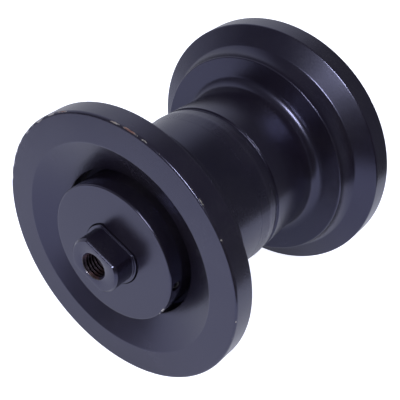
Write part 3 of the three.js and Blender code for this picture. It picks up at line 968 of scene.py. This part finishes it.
bands = noise_at(lathe, flat_place.outputs[0], 160.0, 2.0, 0.5)
lathe.links.new(lines, out.inputs["Height"])
lathe.links.new(bands, out.inputs["Bands"])
lathe.links.new(from_axis, out.inputs["Radius"])

# %% [markdown]
# ## Effect: broken paint
# The mesh says softly where paint is thin: "edge" on every outer corner, "chip" at a knock. Here noise breaks
# those soft marks into ragged islands. It gives three masks: bare metal, brown metal, and the rubbed film
# that is still on but thinner at every corner.

# %% Build the broken paint
broken, given, out = effect(
    "broken_paint",
    [
        ("Vector", "Vector", None), ("Edge", "Float", 0.0), ("Chip", "Float", 0.0), ("Rust", "Float", 0.0),
        ("Edge wear", "Float", 0.2),
    ],
    ["Bare", "Brown", "Rubbed"],
)
ragged = noise_at(broken, given.outputs["Vector"], 1500.0, 6.0, 0.75)
patchy = noise_at(broken, given.outputs["Vector"], 70.0, 2.0, 0.5)
edge_thin = calculate(broken, "MULTIPLY", given.outputs["Edge"], given.outputs["Edge wear"])
edge_thin = calculate(broken, "MULTIPLY", edge_thin, mask(broken, patchy, 0.45, 0.68))
thin = calculate(broken, "ADD", edge_thin, calculate(broken, "MULTIPLY", given.outputs["Chip"], 0.8))
bare = mask(broken, calculate(broken, "ADD", thin, ragged), 1.02, 1.06)
brown = calculate(broken, "MULTIPLY", bare, mask(broken, given.outputs["Rust"], 0.25, 0.6))
rubbed = calculate(broken, "MULTIPLY", given.outputs["Edge"], mask(broken, ragged, 0.3, 0.6))
for socket, value in (("Bare", bare), ("Brown", brown), ("Rubbed", rubbed)):
    broken.links.new(value, out.inputs[socket])

# %% [markdown]
# ## Effect: settled dust
# A part that has stood on a shelf carries a little dust and a few smudges. Two noises are multiplied, a slow
# one for where it lies and a fine one for its grain.

# %% Build the settled dust
dust, given, out = effect("settled_dust", [("Vector", "Vector", None), ("Amount", "Float", 0.3)], ["Mask"])
where = mask(dust, noise_at(dust, given.outputs["Vector"], 18.0, 3.0, 0.6), 0.42, 0.72)
grain = mask(dust, noise_at(dust, given.outputs["Vector"], 1500.0, 3.0, 0.7), 0.35, 0.75)
lying = calculate(dust, "MULTIPLY", calculate(dust, "MULTIPLY", where, grain), given.outputs["Amount"])
dust.links.new(lying, out.inputs["Mask"])

# %% [markdown]
# ## Black enamel
# The paint is one recipe with a few values changed from piece to piece. It is nearly black with a blue cast,
# and satin: a wide, soft highlight. Under it a chip shows steel, which is a metal, so the mask goes into
# Metallic as well as into the colour.

# %% Mix the enamel
BLACK_BLUE = (0.0056, 0.0042, 0.0088, 1)
RUBBED_BLACK = (0.014, 0.012, 0.020, 1)
STEEL = (0.48, 0.46, 0.44, 1)
BROWN_RUST = (0.13, 0.06, 0.04, 1)
# The next two colours are near black: painted shade for the inside of the shaft's bolt hole and of the
# shell's recess bore.
HOLE_SHADE_STEEL = (0.018, 0.013, 0.016, 1)
RECESS_SHADE_BLACK = (0.012, 0.010, 0.012, 1)
COPPERY = (0.10, 0.045, 0.038, 1)
DUST = (0.30, 0.30, 0.31, 1)
COOL_SHEEN = (0.61, 0.63, 1.0, 1)


def start_material(name):
    material = bpy.data.materials.new(name)
    material.use_nodes = True
    tree = material.node_tree
    shader = next(n for n in tree.nodes if n.type == "BSDF_PRINCIPLED")
    place = add_node(tree, "TexCoord").outputs["Object"]
    return material, tree, shader, place


def mark_of(tree, name):
    return add_node(tree, "Attribute", attribute_type="GEOMETRY", attribute_name=name).outputs["Fac"]


def raise_surface(tree, shader, layers):
    """Chains Bump nodes: each layer is (height output, distance in mm, strength)."""
    normal = None
    for height, distance, strength in layers:
        bump = add_node(tree, "Bump")
        bump.inputs["Distance"].default_value = distance * MM
        bump.inputs["Strength"].default_value = strength
        connect(tree, height, bump.inputs["Height"])
        if normal is not None:
            connect(tree, normal, bump.inputs["Normal"])
        normal = bump.outputs[0]
    connect(tree, normal, shader.inputs["Normal"])


def enamel(name, gloss=0.25, edge_wear=0.2, peel=0.012, lines=0.004, dusty=0.06, bare_bore=None,
           bore_colours=None):
    """Nothing is painted inside the radius bare_bore, in mm. The metal there has the two bore_colours, kept
    near black as painted shade inside the bore.
    """
    material, tree, shader, place = start_material(name)
    skin = use_effect(tree, spray, vector=place)
    turned = use_effect(tree, lathe, vector=place)
    worn = use_effect(
        tree, broken, vector=place, edge=mark_of(tree, "edge"), chip=mark_of(tree, "chip"),
        rust=mark_of(tree, "rust"), edge_wear=edge_wear,
    )
    settled = use_effect(tree, dust, vector=place, amount=dusty)
    deeper = [c * 1.35 for c in BLACK_BLUE[:3]] + [1]
    shade = blend_colours(tree, mask(tree, skin["Drift"], 0.3, 0.75), BLACK_BLUE, deeper)
    shade = blend_colours(tree, calculate(tree, "MULTIPLY", worn["Rubbed"], 0.5), shade, RUBBED_BLACK)
    shade = blend_colours(tree, settled["Mask"], shade, DUST)
    metal = blend_colours(tree, worn["Brown"], STEEL, BROWN_RUST)
    bare = worn["Bare"]
    if bare_bore:
        ragged_radius = calculate(tree, "MULTIPLY_ADD", skin["Drift"], 0.8 * MM, turned["Radius"])
        outside = mask(tree, ragged_radius, bare_bore * MM, (bare_bore + 0.3) * MM)
        inside = calculate(tree, "SUBTRACT", 1.0, outside)
        # The bore colours are near black, which paints in the shade inside a bore or hole.
        cut = blend_colours(tree, mask(tree, skin["Drift"], 0.42, 0.58), *bore_colours)
        metal = blend_colours(tree, inside, metal, cut)
        bare = calculate(tree, "MAXIMUM", bare, inside)
    connect(tree, blend_colours(tree, bare, shade, metal), shader.inputs["Base Color"])
    silver = calculate(tree, "SUBTRACT", bare, worn["Brown"])
    connect(tree, calculate(tree, "MULTIPLY", silver, 0.85), shader.inputs["Metallic"])
    film = calculate(tree, "MULTIPLY_ADD", skin["Drift"], 0.1, gloss - 0.05)
    film = calculate(tree, "ADD", film, calculate(tree, "MULTIPLY", settled["Mask"], 0.5))
    film = calculate(tree, "SUBTRACT", film, calculate(tree, "MULTIPLY", worn["Rubbed"], 0.08))
    rough_metal = calculate(tree, "MULTIPLY", bare, 0.45)
    connect(tree, calculate(tree, "MAXIMUM", film, rough_metal), shader.inputs["Roughness"])
    shader.inputs["Specular IOR Level"].default_value = 1.0
    shader.inputs["Specular Tint"].default_value = COOL_SHEEN
    paint_film = calculate(tree, "SUBTRACT", 1.0, bare)
    raise_surface(tree, shader, [
        (skin["Height"], peel, 0.8), (turned["Height"], lines, 0.8), (paint_film, 0.12, 0.7),
    ])
    return material


finishes = {
    # Inside its recess bore the shell is unpainted steel, coloured near black as painted shade in the recess.
    "shell_paint": enamel(
        "black_enamel_shell", edge_wear=0.34, bare_bore=44.1, bore_colours=(BLACK_BLUE, RECESS_SHADE_BLACK)),
    "collar_paint": enamel("black_enamel_collar", gloss=0.24, edge_wear=0.22, lines=0.003),
    # The threads in the bolt hole are bare steel with a coppery rust tone. The steel colour is kept near
    # black as painted shade deep in the hole.
    "shaft_paint": enamel(
        "black_enamel_shaft", gloss=0.24, edge_wear=0.3, bare_bore=8.3, bore_colours=(HOLE_SHADE_STEEL, COPPERY)),
    "weld": enamel("black_enamel_weld", gloss=0.27, edge_wear=0.1, peel=0.03),
}
print("enamels:", ", ".join(m.name for m in finishes.values()))

# %% [markdown]
# ## Metals and rubber inside
# What the shell hides has no paint. The bushes are bronze with an oil film, the seal rings are hard iron that
# is lapped bright, the pins and the plug are spring steel with a dark oxide, and the torics are matt rubber.
# Each is one colour that drifts a little, with turning lines or mould grain in the bump.

# %% Mix the bare finishes
def bare_finish(name, colour, drift_colour, metallic, roughness, grain, stain=0.0):
    """grain is (which effect, bump in mm): turned pieces show lathe lines, moulded ones a fine skin."""
    material, tree, shader, place = start_material(name)
    skin = use_effect(tree, spray, vector=place)
    turned = use_effect(tree, lathe, vector=place)
    settled = use_effect(tree, dust, vector=place, amount=stain)
    shade = blend_colours(tree, mask(tree, skin["Drift"], 0.35, 0.7), colour, drift_colour)
    darker = [c * 0.8 for c in colour[:3]] + [1]
    shade = blend_colours(tree, mask(tree, turned["Bands"], 0.5, 0.7), shade, darker)
    connect(tree, blend_colours(tree, settled["Mask"], shade, BROWN_RUST), shader.inputs["Base Color"])
    shader.inputs["Metallic"].default_value = metallic
    rough = calculate(tree, "MULTIPLY_ADD", skin["Drift"], 0.2, roughness - 0.1)
    rough = calculate(tree, "ADD", rough, calculate(tree, "MULTIPLY", settled["Mask"], 0.3))
    connect(tree, rough, shader.inputs["Roughness"])
    source, height = grain
    raise_surface(tree, shader, [((turned if source == "turned" else skin)["Height"], height, 0.8)])
    return material


finishes |= {
    "bush_bronze": bare_finish(
        "oiled_bronze", (0.62, 0.38, 0.16, 1), (0.48, 0.27, 0.11, 1), 1.0, 0.32, ("turned", 0.006)),
    "seal_iron": bare_finish(
        "lapped_iron", (0.50, 0.50, 0.52, 1), (0.38, 0.38, 0.41, 1), 1.0, 0.22, ("turned", 0.002)),
    "spring_steel": bare_finish(
        "oxide_spring_steel", (0.10, 0.10, 0.11, 1), (0.17, 0.165, 0.165, 1), 0.9, 0.38, ("skin", 0.01), 0.5),
    "nitrile": bare_finish(
        "nitrile_rubber", (0.016, 0.016, 0.017, 1), (0.03, 0.03, 0.032, 1), 0.0, 0.55, ("skin", 0.012)),
}
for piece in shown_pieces():
    piece.data.materials.clear()
    piece.data.materials.append(finishes[piece["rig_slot"]])
print("finishes:", ", ".join(sorted(finishes)))

# %% [markdown]
# ## Table and light
# The roller stands on a small white table in a dim room, with a pale wall on one side and a dark card on the
# other. The table has to be small: a satin black surface shows everything round it, and it is the dim room
# beyond the table's edge that makes the top of the waist dark while its side and the near face stay bright.
# The table glows a little, as a lit acrylic table does, so the shadow under the roller stays soft. The light
# near the camera is a long narrow one. It is turned so that its length runs the way the rims do, which draws
# a long bright line along each rounded edge and leaves the wide arcs and cones beside them dark. The lights
# to the right and left only brighten what they reach and are hidden from the gloss.

# %% Set the table
TABLE_RADIUS = 0.34
COOL_WHITE = (0.87, 0.89, 1.0)
TABLE_WHITE = 0.86
TABLE_GLOW = 0.25
GLOW_TO_CAMERA = 0.85  # keeps the table's shadow from cutting the outline, without changing the gloss
TABLE_SHIFT = -0.12  # towards the wall

table_mesh = bpy.data.meshes.new("table")
table_rim = [(TABLE_RADIUS * math.cos(a), TABLE_RADIUS * math.sin(a), 0) for a in even_angles(96)]
table_mesh.from_pydata(table_rim, [], [tuple(range(len(table_rim)))])
table = bpy.data.objects.new("table", table_mesh)
table.location = (TABLE_SHIFT, 0.0, -flange_radius * MM)
bpy.context.scene.collection.objects.link(table)

table_material, tree, shader, place = start_material("white_acrylic")
cloudy = mask(tree, noise_at(tree, place, 9.0, 3.0, 0.5), 0.2, 0.8)
white, nearly_white = ([c * shade for c in COOL_WHITE] + [1] for shade in (TABLE_WHITE, TABLE_WHITE * 0.97))
connect(tree, blend_colours(tree, cloudy, white, nearly_white), shader.inputs["Base Color"])
shader.inputs["Roughness"].default_value = 0.8
shader.inputs["Emission Color"].default_value = (*COOL_WHITE, 1)
to_camera = add_node(tree, "LightPath").outputs["Is Camera Ray"]
glow = calculate(tree, "MULTIPLY_ADD", to_camera, GLOW_TO_CAMERA, TABLE_GLOW)
connect(tree, glow, shader.inputs["Emission Strength"])
table_mesh.materials.append(table_material)

# %% Light the room
ROOM_BRIGHTNESS = 0.14
WALL_BRIGHTNESS = 0.72
WALL_WAY = Vector((-0.85, 0.35, 0.15))
CARD_WAY = Vector((0.72, -0.66, -0.08))
CARD_SHADE = 0.9
WHITE_TO_CAMERA = 1.2

world = bpy.data.worlds.new("dim_room")
world.use_nodes = True
bpy.context.scene.world = world
tree = world.node_tree
background = next(n for n in tree.nodes if n.type == "BACKGROUND")


def seen_that_way(way, low, high):
    """1 in the middle of one direction of the room, and 0 well away from it."""
    toward = add_node(tree, "VectorMath", operation="DOT_PRODUCT")
    connect(tree, add_node(tree, "TexCoord").outputs["Generated"], toward.inputs[0])
    toward.inputs[1].default_value = way.normalized()
    return mask(tree, toward.outputs["Value"], low, high)


wall = seen_that_way(WALL_WAY, 0.35, 0.85)
card = seen_that_way(CARD_WAY, 0.6, 0.9)
brightness = calculate(tree, "MULTIPLY_ADD", wall, WALL_BRIGHTNESS - ROOM_BRIGHTNESS, ROOM_BRIGHTNESS)
brightness = calculate(tree, "MULTIPLY", brightness, calculate(tree, "MULTIPLY_ADD", card, -CARD_SHADE, 1.0))
to_camera = add_node(tree, "LightPath").outputs["Is Camera Ray"]
seen = calculate(tree, "MULTIPLY_ADD", to_camera, WHITE_TO_CAMERA, brightness)
connect(tree, seen, background.inputs["Strength"])
background.inputs["Color"].default_value = (*COOL_WHITE, 1)


ROUND_THE_RIM = Vector((-0.8, 0.0, 0.6))  # the way the bright lines should run along the edges


def soft_light(name, place, length, width, power, mirrored=True):
    """An oblong light aimed at the roller. One that isn't mirrored can't be seen in the gloss."""
    lamp = bpy.data.lights.new(name, "AREA")
    lamp.shape = "RECTANGLE"
    lamp.size, lamp.size_y, lamp.energy = length, width, power
    holder = bpy.data.objects.new(name, lamp)
    back = Vector(place).normalized()
    along = (ROUND_THE_RIM - back * ROUND_THE_RIM.dot(back)).normalized()
    turn = Matrix((along, back.cross(along), back)).transposed()
    holder.matrix_world = Matrix.Translation(place) @ turn.to_4x4()
    holder.visible_glossy = mirrored
    bpy.context.scene.collection.objects.link(holder)
    print(name, [round(v, 2) for v in place], "m,", power, "W")


soft_light("camera_softbox", (0.352, -1.198, 0.632), 0.45, 0.22, 12)
soft_light("right_softbox", (0.9, 0.1, 0.85), 0.7, 0.7, 9, mirrored=False)
soft_light("left_softbox", (-0.8, -0.8, 0.6), 0.5, 0.5, 2.5, mirrored=False)
bpy.context.scene.view_settings.view_transform = "Standard"
